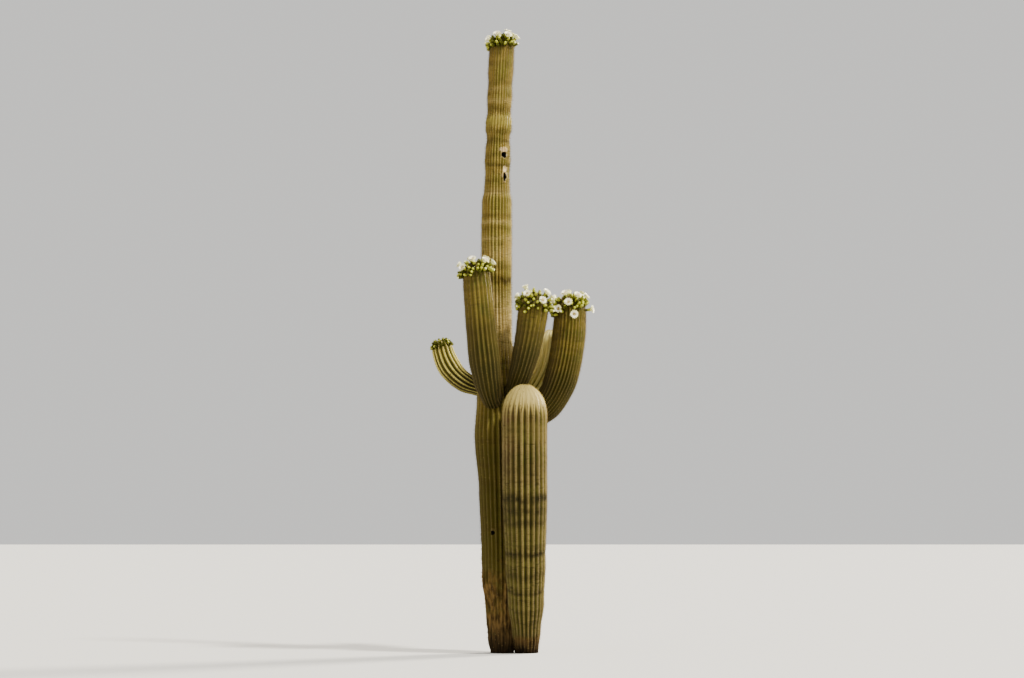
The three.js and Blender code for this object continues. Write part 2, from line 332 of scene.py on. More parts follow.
class Limb:
    """A ribbed limb: its axis, its radius at each distance along it, and the way its ribs run.

    The trunk is the limb without an axis of its own: its slices are level, and distances go by height.
    """

    def __init__(self, name, radii, ribs, aged, axis=None, crown=None, strays=(), bands=(), fork=None,
                 dull_buds=0.2):
        self.name, self.ribs, self.aged, self.crown, self.strays = name, ribs, aged, crown, strays
        self.fork, self.dull_buds = fork, dull_buds
        self.level = axis is None
        self.path = (bent_axis(axis) if axis else trunk_axis)(np.linspace(0, 1, 801))
        steps = np.linalg.norm(np.diff(self.path, axis=0), axis=1)
        self.reached = self.path[:, 2] if self.level else totals(steps)
        self.length = self.reached[-1]
        self.radii = radii if self.level else [(share * self.length, r) for share, r in radii]
        dome_tall = CROWN_TALL if crown and crown.flowers else DOME_TALL
        self.dome = value_at(self.radii, np.array([self.length]))[0] * dome_tall
        self.shoulder = self.length - self.dome
        self.seed = sum(ord(letter) for letter in name)
        self.bands = [(self.at_height(height), half, strength) for height, half, strength in bands]
        self.carry_sides()

    def at_height(self, height):
        """How far along the limb, past its elbow, its axis reaches a height."""
        return np.interp(height, np.maximum.accumulate(self.path[:, 2]), self.reached)

    def carry_sides(self):
        """Carries a direction along the axis with no twist, so that a rib keeps its place."""
        self.stations = np.linspace(0, self.length, STATIONS + 1)
        ahead = self.ahead(self.stations)
        helper = np.zeros(3)
        least = np.abs(ahead[0])
        helper[max(i for i in range(3) if least[i] <= least.min() + 1e-9)] = 1
        sides = [np.cross(ahead[0], unit(np.cross(ahead[0], helper)))]
        for new in ahead[1:]:
            sides.append(unit(sides[-1] - new * np.dot(sides[-1], new)))
        self.sides = np.array(sides)

    def centre(self, along):
        return np.stack([np.interp(along, self.reached, self.path[:, i]) for i in range(3)], axis=-1)

    def ahead(self, along):
        if self.level:
            return np.broadcast_to(UP, (len(along), 3)).copy()
        reach = 0.002
        low, high = np.clip(along - reach, 0, None), np.clip(along + reach, None, self.length)
        return unit(self.centre(high) - self.centre(low))

    def frames(self, along):
        """The axis point, the way ahead, and two directions square to it, at each distance."""
        centre, ahead = self.centre(along), self.ahead(along)
        side = np.stack([np.interp(along, self.stations, self.sides[:, i]) for i in range(3)], axis=-1)
        side = unit(side - ahead * np.sum(side * ahead, axis=1, keepdims=True))
        return centre, ahead, side, np.cross(ahead, side)

    def shoulder_frame(self):
        """The axis point and the three directions at the foot of the dome."""
        return [v[0] for v in self.frames(np.array([self.shoulder]))]

    def radius(self, along):
        """The radius over the ribs' crests, as the solids have it."""
        up = np.clip((along - self.shoulder) / self.dome, 0, 1)
        return value_at(self.radii, along) * np.sqrt(1 - up * up)

    def rib_depth(self, along):
        """How deep the valleys are, over the radius."""
        depth = bpy.context.scene.saguaro_skin.rib_depth
        if self.crown is None:
            return depth * (1 - DOME_FADE * smooth(0.42, 0.12, self.length - along))
        if not self.crown.flowers:
            return np.full(len(along), depth * YOUNG_RIB_SHARE)
        depth = depth * (1 - TIP_FADE * smooth(0.9, 0.35, self.length - along))
        if self.level:
            depth = depth * (BARK_RIB_SHARE + (1 - BARK_RIB_SHARE) * smooth(0, BARK_TOP, along))
        return depth * (1 - RING_FADE * self.in_pale_ring(along))

    def in_pale_ring(self, along):
        if not self.level:
            return np.zeros(len(along))
        low, high = PALE_RING
        return smooth(low - 0.015, low + 0.025, along) * smooth(high + 0.015, high - 0.025, along)

    def in_bands(self, along):
        """1 in the middle of each dark band, -1 in each pale one, and 0 away from them; some dark bands are
        painted shade and some pale ones painted light.
        """
        found = np.zeros(len(along))
        for place, half, strength in self.bands:
            found += strength * bell(along, place, half)
        return np.clip(found, -1, 1)

    def skin_radius(self, along):
        """The crests' radius on the skin, with the slight swells and waists of good and dry years."""
        rng = np.random.default_rng(self.seed)
        swell = np.zeros(len(along))
        for period in (0.41, 0.23, 0.13):
            swell += np.sin(2 * np.pi * (along / period + rng.random())) * rng.uniform(0.2, 0.5)
        left = self.length - along
        dips = SWELL_DEPTH * (1 + swell) + BAND_DEPTH * np.clip(self.in_bands(along), 0, 1)
        inset = SKIN_INSET * smooth(0, 0.05, left)
        return np.clip(self.radius(along) - inset - dips * smooth(0, 0.1, left), 0, None)

    def fork_width(self, along, rib):
        """How far, in ribs, each crest of a rib that forks lies from the rib's middle line."""
        if not self.fork:
            return np.zeros(len(along))
        forked, height, opened = self.fork
        width = 0.25 * smooth(height, height + opened, self.centre(along)[:, 2])
        return np.where(rib % self.ribs == forked, width, 0)

    def crest_share(self, along, turn):
        """1 on a crest and 0 in a valley, at turns counted in ribs."""
        rib = np.round(turn)
        aside = np.abs(turn - rib)
        fork = self.fork_width(along, rib)
        inner = 0.8 * (fork - aside) / np.maximum(fork, 1e-6)
        drop = np.where(aside >= fork, (aside - fork) / (0.5 - fork), inner)
        return 1 - np.clip(drop, 0, 1) ** RIB_SHARPNESS

    def skin(self, along, turn):
        """Points of the skin at distances along the limb and at turns counted in ribs."""
        centre, _, side, across = self.frames(along)
        crest = self.crest_share(along, turn)
        radius = self.skin_radius(along) * (1 - self.rib_depth(along) * (1 - crest))
        angle = (2 * np.pi * turn / self.ribs)[:, None]
        outward = side * np.cos(angle) + across * np.sin(angle)
        return centre + outward * radius[:, None], outward, crest


LIMBS = {name: Limb(name, **sizes) for name, sizes in LIMB_SIZES.items()}
TRUNK = LIMBS["trunk"]
ARMS = [limb for name, limb in LIMBS.items() if name.endswith("_arm")]


def depth_inside(points, limb):
    """How far each point lies inside a limb's solid outline, negative outside."""
    along = np.linspace(0, limb.shoulder, 80)
    centres, radii = limb.centre(along), limb.radius(along)
    gap = np.linalg.norm(points[:, None, :] - centres[None], axis=2)
    return (radii[None] - gap).max(axis=1)


def covered(points, owner):
    """Which points lie inside another limb than their own, or all but touch it."""
    found = np.zeros(len(points), bool)
    for limb in LIMBS.values():
        if limb is not owner:
            found |= depth_inside(points, limb) > -COVERED_GAP
    return found


class Heap:
    """Points and faces gathered from many small shapes, with a material number for each face."""

    def __init__(self):
        self.points, self.faces, self.paints, self.count = [], [], [], 0

    def add(self, points, faces, paint=0):
        faces = np.asarray(faces)
        self.points.append(np.asarray(points, float).reshape(-1, 3))
        self.faces.extend((faces + self.count).tolist())
        self.paints.extend(np.broadcast_to(np.asarray(paint), len(faces)).tolist())
        self.count += len(self.points[-1])

    def add_copies(self, corners, sides, paints):
        """Adds many shapes with the same sides, given every corner of them all and each one's paint."""
        points = np.stack(corners, axis=-2).reshape(-1, 3)
        start = np.arange(0, len(points), len(corners))[:, None, None]
        self.add(points, (start + np.array(sides)).reshape(-1, 3), np.repeat(paints, len(sides)))

    def build(self, name, materials, smooth_faces=True, fields=None):
        """Makes one mesh object of what was gathered."""
        mesh = bpy.data.meshes.new(name)
        mesh.from_pydata(np.concatenate(self.points).tolist(), [], self.faces)
        mesh.polygons.foreach_set("material_index", self.paints)
        mesh.polygons.foreach_set("use_smooth", [smooth_faces] * len(self.faces))
        for field, values in (fields or {}).items():
            vector = np.ndim(values) == 2
            layer = mesh.attributes.new(field, "FLOAT_VECTOR" if vector else "FLOAT", "POINT")
            layer.data.foreach_set("vector" if vector else "value", np.ravel(values).astype(np.float32))
        for material in materials:
            mesh.materials.append(material)
        mesh.update()
        piece = bpy.data.objects.new(name, mesh)
        bpy.context.scene.collection.objects.link(piece)
        return piece


def grid_faces(rows, columns, around=True):
    """Quads between rows of points, closed round where the rows are rings."""
    across = np.arange(columns if around else columns - 1)
    row, column = np.meshgrid(np.arange(rows - 1), across, indexing="ij")
    here = (row * columns + column).ravel()
    beside = (row * columns + (column + 1) % columns).ravel()
    return np.stack([here, beside, beside + columns, here + columns], axis=1)


def skin_rows(limb, start):
    """Distances along a limb for the skin's rows, closer together at nest holes and round the tip."""
    rows = np.arange(start, limb.shoulder, ROW_STEP)
    if limb is TRUNK:
        for hole in NEST_HOLES:
            low = hole.height - 1.7 * hole.tall
            high = hole.height + hole.scar_up + 1.3 * hole.scar_tall
            rows = rows[(rows < low) | (rows > high)]
            rows = np.concatenate([rows, np.arange(low, high, HOLE_ROW_STEP)])
    dome = limb.shoulder + limb.dome * np.sin(np.linspace(0, np.pi / 2, DOME_ROWS + 1))[:-1]
    return np.concatenate([np.sort(rows), dome])


def peck_holes(points, outward, along, fields):
    """Sinks the nest holes into the trunk's skin, each with a corky lip and a pale scar above it."""
    reach = np.linalg.norm((points - TRUNK.centre(along))[:, :2], axis=1)
    frayed = 1 + 0.16 * lattice_noise(points, 0.02, 5)
    torn = 1 + 0.26 * lattice_noise(points, 0.032, 6) + 0.14 * lattice_noise(points, 0.013, 8)
    for hole in NEST_HOLES:
        right = np.array([-hole.way[1], hole.way[0], 0])
        aside = np.arctan2(outward @ right, outward @ hole.way) * reach
        up = along - hole.height
        narrow = hole.wide * (1 - 0.3 * smooth(0.0, -hole.tall, up))
        gap = np.hypot(aside / narrow, up / hole.tall) / (0.5 + 0.5 * frayed)
        sunk = bell(gap, 1.3, 0.28) * LIP_RISE - smooth(1.02, 0.52, gap) * HOLE_DEPTH
        points = points + outward * sunk[:, None]
        # The hole's inside is painted near-black, as shade
        fields["hole"] = np.maximum(fields["hole"], smooth(1.2, 1.04, gap))
        scar = np.hypot(aside / hole.scar_wide, (up - hole.scar_up) / hole.scar_tall) / torn
        lip = 0.6 * smooth(1.6, 1.2, gap * frayed / torn)
        cork = hole.cork * np.maximum(smooth(1.15, 0.8, scar), lip)
        fields["scar"] = np.maximum(fields["scar"], cork)
    return points


def limb_skin(limb, start, look):
    """The limb's ribbed skin as one closed mesh, with the fields that its material reads."""
    rows = skin_rows(limb, start)
    columns = limb.ribs * SAMPLES_PER_RIB
    along = np.repeat(rows, columns)
    turn = np.tile(np.arange(columns) / SAMPLES_PER_RIB, len(rows))
    points, outward, crest = limb.skin(along, turn)
    bands = limb.in_bands(along + BAND_WOBBLE * lattice_noise(points, 0.11, 7))
    angle = 2 * np.pi * turn / limb.ribs
    flat = np.stack([np.cos(angle) * SHADE_RADIUS, np.sin(angle) * SHADE_RADIUS, along], axis=1)
    fields = {
        "crest": crest,
        "hole": np.zeros(len(along)),
        "scar": np.zeros(len(along)),
        # Dark and pale bands, some of them painted shade and painted light
        "band": np.clip(bands, 0, 1),
        "lift": np.clip(-bands, 0, 1),
        "pale": limb.in_pale_ring(along),
        # Painted shade with a rust tint on the side away from the sun, towards -X
        "weather": smooth(-0.1, -0.85, outward[:, 0]),
        "flat": flat + (limb.seed % 97, 0, 0),
        "from_tip": limb.length - along,
        # Old skin lower down, darkened partly as painted shade
        "age": 0.85 * smooth(*limb.aged, limb.length - along),
    }
    if limb.level:
        # Bark at the foot, and near-black painted shade where the foot meets the ground
        fields["bark"], fields["soot"] = smooth(BARK_TOP, 0.55, along), smooth(0.45, 0.03, along)
        plates = lattice_noise(points * (1, 1, 0.35), 0.028, 3) + 0.6 * lattice_noise(points, 0.012, 4)
        points = points - outward * (np.clip(plates, 0, None) * BARK_RELIEF * fields["bark"])[:, None]
        points = peck_holes(points, outward, along, fields)
    else:
        # Bark low down, and near-black painted shade near the ground
        fields["bark"], fields["soot"] = smooth(0.3, 0.1, points[:, 2]), smooth(0.3, 0.02, points[:, 2])
    points = np.concatenate([points, limb.centre(np.array([rows[0], limb.length]))])
    points[:, 2] = np.maximum(points[:, 2], 0)
    fields = {name: np.concatenate([values, values[[0, -1]]]) for name, values in fields.items()}
    ring = np.arange(columns)
    beside = (ring + 1) % columns
    last = len(along) - columns
    foot = np.stack([beside, ring, np.full(columns, len(along))], axis=1)
    tip = np.stack([last + ring, last + beside, np.full(columns, len(along) + 1)], axis=1)
    heap = Heap()
    heap.add(points, grid_faces(len(rows), columns))
    heap.faces += foot.tolist() + tip.tolist()
    heap.paints += [0] * (2 * columns)
    return heap.build(limb.name + "_skin", [skin_material(look)], fields=fields)


class Graph:
    """Builds a material's nodes, with a short call for each kind."""

    def __init__(self, name):
        self.material = bpy.data.materials.new(name)
        self.material.use_nodes = True
        self.tree = self.material.node_tree
        self.shader = self.tree.nodes["Principled BSDF"]

    def put(self, node, inputs):
        """Sets a node's inputs to values, or links them to the outputs of others."""
        for key, value in inputs.items():
            if isinstance(value, bpy.types.NodeSocket):
                self.tree.links.new(value, node.inputs[key])
            else:
                node.inputs[key].default_value = value

    def add(self, kind, inputs, output=0, **settings):
        """Adds a node and returns one of its outputs."""
        node = self.tree.nodes.new(kind)
        for name, value in settings.items():
            setattr(node, name, value)
        self.put(node, inputs)
        return node.outputs[output]

    def surface(self, colour, roughness, specular, **more):
        """Sets the shader's inputs and returns the material."""
        inputs = {"Base Color": colour, "Roughness": roughness, "Specular IOR Level": specular, **more}
        self.put(self.shader, inputs)
        return self.material

    def field(self, name, output="Fac"):
        return self.add("ShaderNodeAttribute", {}, output, attribute_name=name)

    def mix(self, factor, first, second):
        first, second = ((*c, 1.0) if isinstance(c, tuple) else c for c in (first, second))
        return self.add("ShaderNodeMix", {0: factor, 6: first, 7: second}, 2, data_type="RGBA")

    def math(self, operation, *values):
        return self.add("ShaderNodeMath", dict(enumerate(values)), operation=operation)

    def times(self, first, second):
        return self.math("MULTIPLY", first, second)

    def plus(self, first, second):
        return self.math("ADD", first, second)

    def most(self, first, second):
        return self.math("MAXIMUM", first, second)

    def scaled(self, value, factor, offset):
        return self.math("MULTIPLY_ADD", value, factor, offset)

    def steps(self, *values):
        """An eased slope, given the input, its low and high ends and, if not 0 and 1, what they become."""
        return self.add("ShaderNodeMapRange", dict(enumerate(values)), interpolation_type="SMOOTHSTEP")

    def noise(self, vector, scale, detail=3.0, roughness=0.55, stretch=None):
        """Noise on the straightened limb, whose grain can be stretched round it and along it."""
        if stretch:
            grain = (stretch[0], stretch[0], stretch[1])
            vector = self.add("ShaderNodeMapping", {"Vector": vector, "Scale": grain})
        inputs = {"Vector": vector, "Scale": scale, "Detail": detail, "Roughness": roughness}
        return self.add("ShaderNodeTexNoise", inputs, "Fac")


# The skins' colours, and how they lie on the ribs. COMMON_TONES holds where no skin has its own
# Painted shade among the blooms, at the tips of the flowering limbs
CROWN_SHADE = (0.036, 0.036, 0.005)
COMMON_TONES = {
    "bark_dark": (0.03, 0.017, 0.004), "bark_light": (0.15, 0.088, 0.027),
    "cork_dark": (0.4, 0.285, 0.13), "cork_light": (0.68, 0.545, 0.32),
    # Near-black painted shade at the foot and inside the nest holes
    "soot": (0.0056, 0.0033, 0.0017), "hole": (0.001, 0.0008, 0.0006), "ring": (0.18, 0.142, 0.022),
    "lift": (0.17, 0.13, 0.03),  # in pale bands, some of them painted light
    "crest_from": 0.72, "valley_to": 0.42,  # where the crest's painted highlight and the valley's painted shade end on a rib
    "worn": 0.6,  # how much duller the crests' painted highlight is on old skin
    "mottled": 0.55,  # strength of the dark dashes
    "side_shade": 0.0,  # how dark the painted shade makes old skin on the side away from the sun
    "tip": 0.2, "youth": 0.85, "blend": 0.5,  # reach, strength and softness of the young skin at the tip, which is painted shade among the blooms on flowering tips
}
SKIN_TONES = {
    "trunk": dict(
        green=(0.15, 0.131, 0.016), valley=(0.066, 0.048, 0.005), crest=(0.278, 0.215, 0.062),
        rust=(0.178, 0.11, 0.015), band=(0.046, 0.032, 0.003), old=(0.033, 0.029, 0.0015),
        young=CROWN_SHADE, lift=(0.5, 0.38, 0.15), worn=0.9),
    "arm": dict(
        green=(0.066, 0.062, 0.005), valley=(0.036, 0.029, 0.003), crest=(0.13, 0.101, 0.018),
        rust=(0.098, 0.064, 0.009), band=(0.036, 0.027, 0.003), old=(0.0138, 0.0122, 0.0008),
        young=CROWN_SHADE, worn=0.7, crest_from=0.76),
    "stem": dict(
        green=(0.064, 0.06, 0.005), valley=(0.008, 0.006, 0.001), crest=(0.235, 0.177, 0.07),
        rust=(0.066, 0.033, 0.009), band=(0.013, 0.011, 0.001), old=(0.052, 0.046, 0.003),
        young=(0.3, 0.232, 0.07), lift=(0.15, 0.128, 0.028), crest_from=0.55, valley_to=0.52,
        worn=0.22, mottled=0.6, side_shade=0.8, tip=0.38, youth=0.92, blend=0.3),
    "left_arm": dict(
        green=(0.1, 0.092, 0.008), valley=(0.004, 0.003, 0.0005), crest=(0.86, 0.76, 0.18),
        rust=(0.07, 0.05, 0.006), band=(0.044, 0.033, 0.004), old=(0.018, 0.013, 0.001),
        young=(0.05, 0.05, 0.006), crest_from=0.66, valley_to=0.62, mottled=0.3, side_shade=0.7, tip=0.14),
    # The rear arm's pale young skin, made paler in part as painted light where the arms in front shade it
    "rear_arm": dict(
        green=(0.39, 0.365, 0.08), valley=(0.056, 0.045, 0.006), crest=(0.76, 0.67, 0.27),
        rust=(0.22, 0.155, 0.035), band=(0.12, 0.09, 0.018), old=(0.145, 0.124, 0.02),
        young=(0.59, 0.525, 0.21), crest_from=0.6, valley_to=0.55, worn=0.4, tip=0.9),
}


def skin_material(look):
    """One of the waxy ribbed skins, made once: layers of colour, each over the ones before it, with painted
    shade and painted highlight among them.
    """
    name = look.replace("_", " ").capitalize() + " skin"
    if name in bpy.data.materials:
        return bpy.data.materials[name]
    g = Graph(name)
    tones = SimpleNamespace(**{**COMMON_TONES, **SKIN_TONES[look]})
    flank = tuple(getattr(bpy.context.scene.saguaro_skin, look + "_flank"))
    flat, crest, old, scar = g.field("flat", "Vector"), g.field("crest"), g.field("age"), g.field("scar")
    patches = g.noise(flat, 5.5)
    mottle = g.noise(flat, 16, 4)
    grain = g.noise(flat, 70)
    wrinkles = g.noise(flat, 1.0, 3, 0.6, stretch=(0.8, 8.5))
    dashes = g.noise(flat, 17, 3, 0.6, stretch=(0.6, 2.4))
    streaks = g.noise(flat, 16, stretch=(1.6, 0.35))
    corky = g.noise(flat, 14, 5, 0.62, stretch=(2.0, 0.6))

    # The side away from the sun in painted shade with a rust tint, painted shade in the ribs' valleys,
    # painted highlight on their crests, and more painted shade on old skin away from the sun
    weather = g.times(g.field("weather"), g.steps(mottle, 0.32, 0.62, 0.35, 0.95))
    in_valley = g.scaled(weather, -0.6, g.steps(streaks, 0.36, 0.6, 0.6, 0.95))
    valley = g.times(g.steps(crest, tones.valley_to, 0.0), in_valley)
    line = g.steps(g.plus(crest, g.scaled(grain, 0.16, -0.08)), tones.crest_from, 0.99)
    line = g.times(line, g.scaled(old, -tones.worn, 0.85))
    side_shade = g.times(g.times(weather, old), tones.side_shade)

    # Pale and dark growth bands, with some painted light and painted shade among them, dashes and the pale
    # ring
    lift = g.times(g.field("lift"), g.steps(mottle, 0.3, 0.6, 0.35, 0.9))
    dark = g.most(g.steps(wrinkles, 0.53, 0.68, 0, 0.5), g.field("band"))
    dark = g.times(dark, g.steps(mottle, 0.34, 0.6, 0.45, 1.0))
    dark = g.most(dark, g.steps(dashes, 0.54, 0.68, 0.0, tones.mottled))
    ring = g.times(g.field("pale"), g.steps(mottle, 0.25, 0.6, 0.6, 1.0))

    # Young skin at the tip, reaching further down on the crests; on the flowering tips it is painted shade
    # among the blooms
    edge = g.scaled(crest, 0.35 * tones.tip, 0.62 * tones.tip)
    edge = g.scaled(patches, 0.3 * tones.tip, g.math("SUBTRACT", edge, 0.15 * tones.tip))
    fade = tones.blend * tones.tip
    young = g.steps(g.math("SUBTRACT", g.field("from_tip"), edge), -fade, 0.3 * fade, tones.youth, 0.0)

    bark = g.plus(g.field("bark"), g.scaled(patches, 1.9, -1.15))
    bark = g.times(g.steps(bark, 0.2, 0.75, 0.0, 0.92), g.steps(g.field("bark"), 0.02, 0.2))
    colour = g.mix(g.steps(patches, 0.38, 0.64), flank, tones.green)
    for cover, tone in (
        # Painted shade with a rust tint away from the sun, old skin darkened partly as painted shade,
        # painted shade in the valleys and painted highlight on the crests
        (weather, tones.rust), (old, tones.old), (valley, tones.valley), (line, tones.crest),
        # More painted shade on old skin away from the sun, pale bands partly painted light, dark bands
        # partly painted shade, and young skin that is painted shade on the flowering tips
        (side_shade, tones.old), (lift, tones.lift), (dark, tones.band), (ring, tones.ring), (young, tones.young),
        (bark, g.mix(g.steps(corky, 0.38, 0.62), tones.bark_dark, tones.bark_light)),
        # Near-black painted shade at the foot
        (g.times(g.field("soot"), 0.85), tones.soot),
        (scar, g.mix(g.steps(corky, 0.4, 0.62), tones.cork_dark, tones.cork_light)),
        # Near-black painted shade inside the nest holes
        (g.field("hole"), tones.hole),
    ):
        colour = g.mix(cover, colour, tone)

    dry = g.most(bark, scar)
    roughness = g.steps(g.most(dry, g.field("hole")), 0.0, 0.8, 0.6, 1.0)
    height = g.plus(g.times(grain, 0.35), g.times(g.times(corky, 2.2), dry))
    normal = g.add("ShaderNodeBump", {"Strength": 1.0, "Distance": 0.006, "Height": height})
    return g.surface(colour, roughness, 0.12, Normal=normal)


def plain_materials(*rows):
    """Opaque materials of one colour each, given their name, colour, roughness and specular level."""
    return [Graph(name).surface((*colour, 1), *finish) for name, colour, *finish in rows]


def areoles(limb, spacing, rng):
    """Places down each crest, closer together near the tip: distances along the limb and ribs."""
    line = np.linspace(0, limb.length - 0.004, 3000)
    reach = limb.skin_radius(line)
    travelled = totals(np.hypot(np.diff(line), np.diff(reach)))
    left = travelled[-1] - travelled
    gaps = value_at([(below, spacing * share) for below, share in TIP_CROWDING], left)
    counted = totals(np.diff(travelled) / gaps[1:])
    along, ribs = [], []
    for rib in range(limb.ribs):
        marks = np.arange(rng.random(), counted[-1], 1.0)
        marks = marks + rng.uniform(-PLACE_JITTER, PLACE_JITTER, len(marks))
        at = np.interp(marks, counted, line)
        crest_gap = 2 * np.pi * limb.skin_radius(at) / limb.ribs
        kept = (crest_gap > LEAST_CREST_GAP) | (rng.random(len(at)) < crest_gap / LEAST_CREST_GAP)
        along.append(at[kept])
        ribs.append(np.full(kept.sum(), rib))
    return np.concatenate(along), np.concatenate(ribs).astype(float)


def surface_frames(limb, along, ribs):
    """Points on the crests with the skin's outward direction and the way along the crest."""
    points, _, _ = limb.skin(along, ribs)
    step = 0.003
    later, _, _ = limb.skin(np.clip(along + step, None, limb.length - 0.0005), ribs)
    sooner, _, _ = limb.skin(np.clip(along - step, 0, None), ribs)
    onward = unit(later - sooner)
    centre, _, side, across = limb.frames(along)
    angle = (2 * np.pi * ribs / limb.ribs)[:, None]
    beside = unit(across * np.cos(angle) - side * np.sin(angle))
    normal = unit(np.cross(beside, onward))
    normal[np.sum(normal * (points - centre), axis=1) < 0] *= -1
    return points, normal, onward


def spine_directions(normal, onward, count, rng):
    """Fans of directions over each areole, some flat on the skin and some standing out of it."""
    k = len(normal)
    turn = np.arange(count) * (2 * np.pi / count) + rng.uniform(0, 2 * np.pi, (k, 1))
    turn = turn + rng.uniform(-0.35, 0.35, (k, count))
    standing = np.arange(count) < CENTRALS
    rise = np.where(standing, rng.uniform(*STANDING_RISE, (k, count)), rng.uniform(*LYING_RISE, (k, count)))
    across = np.cross(normal, onward)
    flat = onward[:, None] * np.cos(turn)[..., None] + across[:, None] * np.sin(turn)[..., None]
    ways = normal[:, None] * np.sin(rise)[..., None] + flat * np.cos(rise)[..., None]
    ways[..., 2] -= np.where(standing, DROOP, 0)
    return unit(ways), standing


class Armour(NamedTuple):
    """How the spines grow on one group of limbs. Clusters are pale, straw or old."""

    limbs: list
    count: int  # spines in a cluster
    pale_reach: float = 0.0  # how far below the tip nearly all are pale
    pale: float = 0.0  # the share that is pale further down
    old: float = 0.45  # the share of the others that is old
    longest: float = 1.0  # over the usual length
    gap: float = 1.0  # over the usual spacing
    worn: float = 0.45  # how many more are old on old skin, whose darkening is partly painted shade
    side_shade: float = 0.0  # and, as painted shade, on its side away from the sun


ARMOUR = {
    "trunk_spines": Armour(["trunk"], 8, gap=1.08),
    "front_stem_spines": Armour(["front_stem"], 13, 0.3, old=0.3, longest=0.75, gap=0.8, worn=0.1, side_shade=0.4),
    "flowering_arm_spines": Armour(
        ["front_left_arm", "front_right_arm", "right_arm"], 8, old=0.55, longest=0.9, gap=1.05),
    "left_arm_spines": Armour(["left_arm"], 8, pale=0.95, old=0.1, longest=0.42, gap=0.9, worn=0.8, side_shade=0.4),
    "rear_arm_spines": Armour(["rear_arm"], 11, 0.5, pale=0.7, old=0.1, longest=0.75, gap=0.85, worn=0.0),
}
PALE, STRAW, OLD = range(3)


def bare_places(points, along, rng):
    """Where the trunk has no spines: on most of its bark and pale ring, and round its holes and scars."""
    few = 0.8 * smooth(BARK_TOP, 0.7, along) + 0.6 * TRUNK.in_pale_ring(along)
    bare = rng.random(len(along)) <= few
    for hole in NEST_HOLES:
        height = np.array([hole.height])
        mouth = TRUNK.centre(height)[0] + hole.way * TRUNK.radius(height)[0]
        scar = mouth + UP * hole.scar_up
        squash, scar_squash = (1, 1, hole.tall / hole.wide), (1, 1, hole.scar_tall / hole.scar_wide)
        bare |= np.linalg.norm((points - mouth) / squash, axis=1) <= hole.wide * 1.5
        bare |= np.linalg.norm((points - scar) / scar_squash, axis=1) <= hole.scar_wide * hole.cork
    return bare


def add_spines(heap, limb, armour, rng):
    """Clusters of three-sided spines on every areole of a limb that nothing covers."""
    sizes = bpy.context.scene.saguaro_spines
    along, ribs = areoles(limb, sizes.spacing * armour.gap, rng)
    if limb.fork:
        ribs = ribs + limb.fork_width(along, ribs) * rng.choice([-1, 1], len(ribs))
    points, normal, onward = surface_frames(limb, along, ribs)
    kept = (points[:, 2] > FOOT_BARE) & ~covered(points, limb)
    if limb is TRUNK:
        kept &= ~bare_places(points, along, rng)
    along, points, normal, onward = along[kept], points[kept], normal[kept], onward[kept]
    k, count = len(points), armour.count
    ways, standing = spine_directions(normal, onward, count, rng)
    tall, low = rng.uniform(*STANDING_LENGTH, (k, count)), rng.uniform(*LYING_LENGTH, (k, count))
    lengths = np.where(standing, tall, low) * sizes.reach * armour.longest
    helper = np.where(np.abs(ways[..., 2:]) < 0.9, UP, np.array([1.0, 0, 0]))
    first = unit(np.cross(ways, helper))
    second = np.cross(ways, first)
    root = points[:, None] - normal[:, None] * ROOT_DEPTH
    corners = []
    for corner in range(3):
        angle = 2 * np.pi * corner / 3
        corners.append(root + sizes.width * (first * math.cos(angle) + second * math.sin(angle)))
    corners.append(root + ways * lengths[..., None])

    left = limb.length - along
    near_tip = smooth(armour.pale_reach, armour.pale_reach * 0.4, left) if armour.pale_reach else 0
    # Old skin, darkened partly as painted shade, takes more old spines
    aged = smooth(*limb.aged, left)
    worn = armour.worn * aged
    pale = (armour.pale + (0.95 - armour.pale) * near_tip) * (1 - worn)
    # Painted shade: more old, dark spines on the side away from the sun
    side_shade = armour.side_shade * aged * smooth(-0.1, -0.7, normal[:, 0])
    old = armour.old + 0.35 * smooth(1.6, 0.6, points[:, 2]) + worn + side_shade + 0.6 * limb.in_bands(along)
    paint = np.where(rng.random(k) < pale, PALE, np.where(rng.random(k) < old, OLD, STRAW))
    heap.add_copies(corners, [[0, 1, 3], [1, 2, 3], [2, 0, 3]], np.repeat(paint, count))
    return points, normal, onward, (pale > 0.5).astype(int)


def add_pads(heap, points, normal, onward, felt, rng):
    """A low cushion of felt under each cluster of spines, cream where the spines are pale."""
    across = np.cross(normal, onward)
    size = rng.uniform(*PAD_SIZE, (len(points), 1))
    corners = [points + (onward * math.cos(a) * 1.3 + across * math.sin(a)) * size - normal * 0.001
               for a in np.arange(5) * 2 * np.pi / 5]
    corners.append(points + normal * PAD_RISE)
    heap.add_copies(corners, [[i, (i + 1) % 5, 5] for i in range(5)], felt)


def place_bloom(limb, outward, tilt):
    """A bloom's root on a tip and its direction, tilted by degrees from the tip's axis towards a side."""
    centre, ahead, _, _ = limb.shoulder_frame()
    tilt = math.radians(tilt)
    radius = limb.radius(np.array([limb.shoulder]))[0]
    root = centre + ahead * limb.dome * math.cos(tilt) + outward * radius * math.sin(tilt)
    return root, ahead * math.cos(tilt) + outward * math.sin(tilt)


def tip_side(limb, turn):
    """The direction out of a tip's side, at degrees round it."""
    _, _, side, across = limb.shoulder_frame()
    angle = math.radians(turn)
    return side * math.cos(angle) + across * math.sin(angle)


